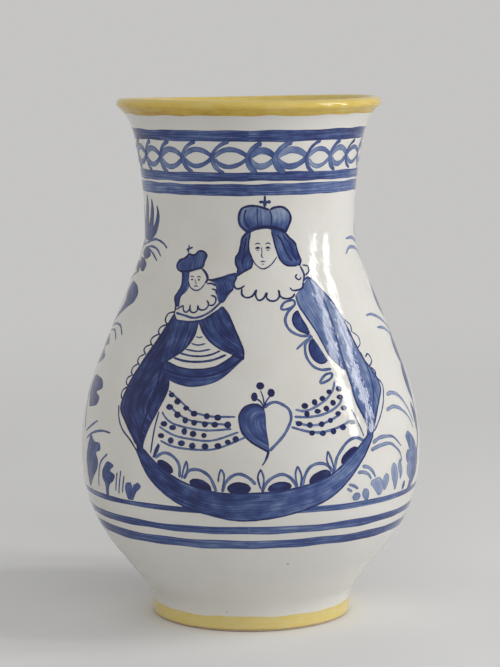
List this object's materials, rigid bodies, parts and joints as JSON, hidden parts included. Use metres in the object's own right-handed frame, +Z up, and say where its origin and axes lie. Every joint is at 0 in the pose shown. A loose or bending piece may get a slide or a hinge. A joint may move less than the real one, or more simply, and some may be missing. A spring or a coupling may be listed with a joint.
{
  "type": "glazed vase",
  "caption": "Open-mouthed tin-glazed earthenware vase with flared yellow lip, waisted neck, round belly, low yellow foot and cobalt rings; a stand-alone vessel for flowers or display.",
  "frame": {"origin": "middle of the foot ring, on the plane it stands on", "axes": "+Z up along the axis the vase was thrown on; -Y is the side with the painted figure"},
  "size_m": [0.1834, 0.1834, 0.28],
  "materials": {
    "clay": "matte fired earthenware",
    "white_glaze": "glossy",
    "inner_glaze": "glossy",
    "yellow_glaze": "glossy",
    "cobalt_glaze": "glossy"
  },
  "bodies": {
    "root": {"clay_body": "clay", "outer_white_glaze": "white_glaze", "inner_white_glaze": "inner_glaze", "lip_yellow_glaze": "yellow_glaze", "foot_yellow_glaze": "yellow_glaze", "neck_top_ring": "cobalt_glaze", "neck_middle_ring": "cobalt_glaze", "neck_bottom_ring": "cobalt_glaze", "belly_top_ring": "cobalt_glaze", "belly_middle_ring": "cobalt_glaze", "belly_bottom_ring": "cobalt_glaze"}
  },
  "joints": []
}
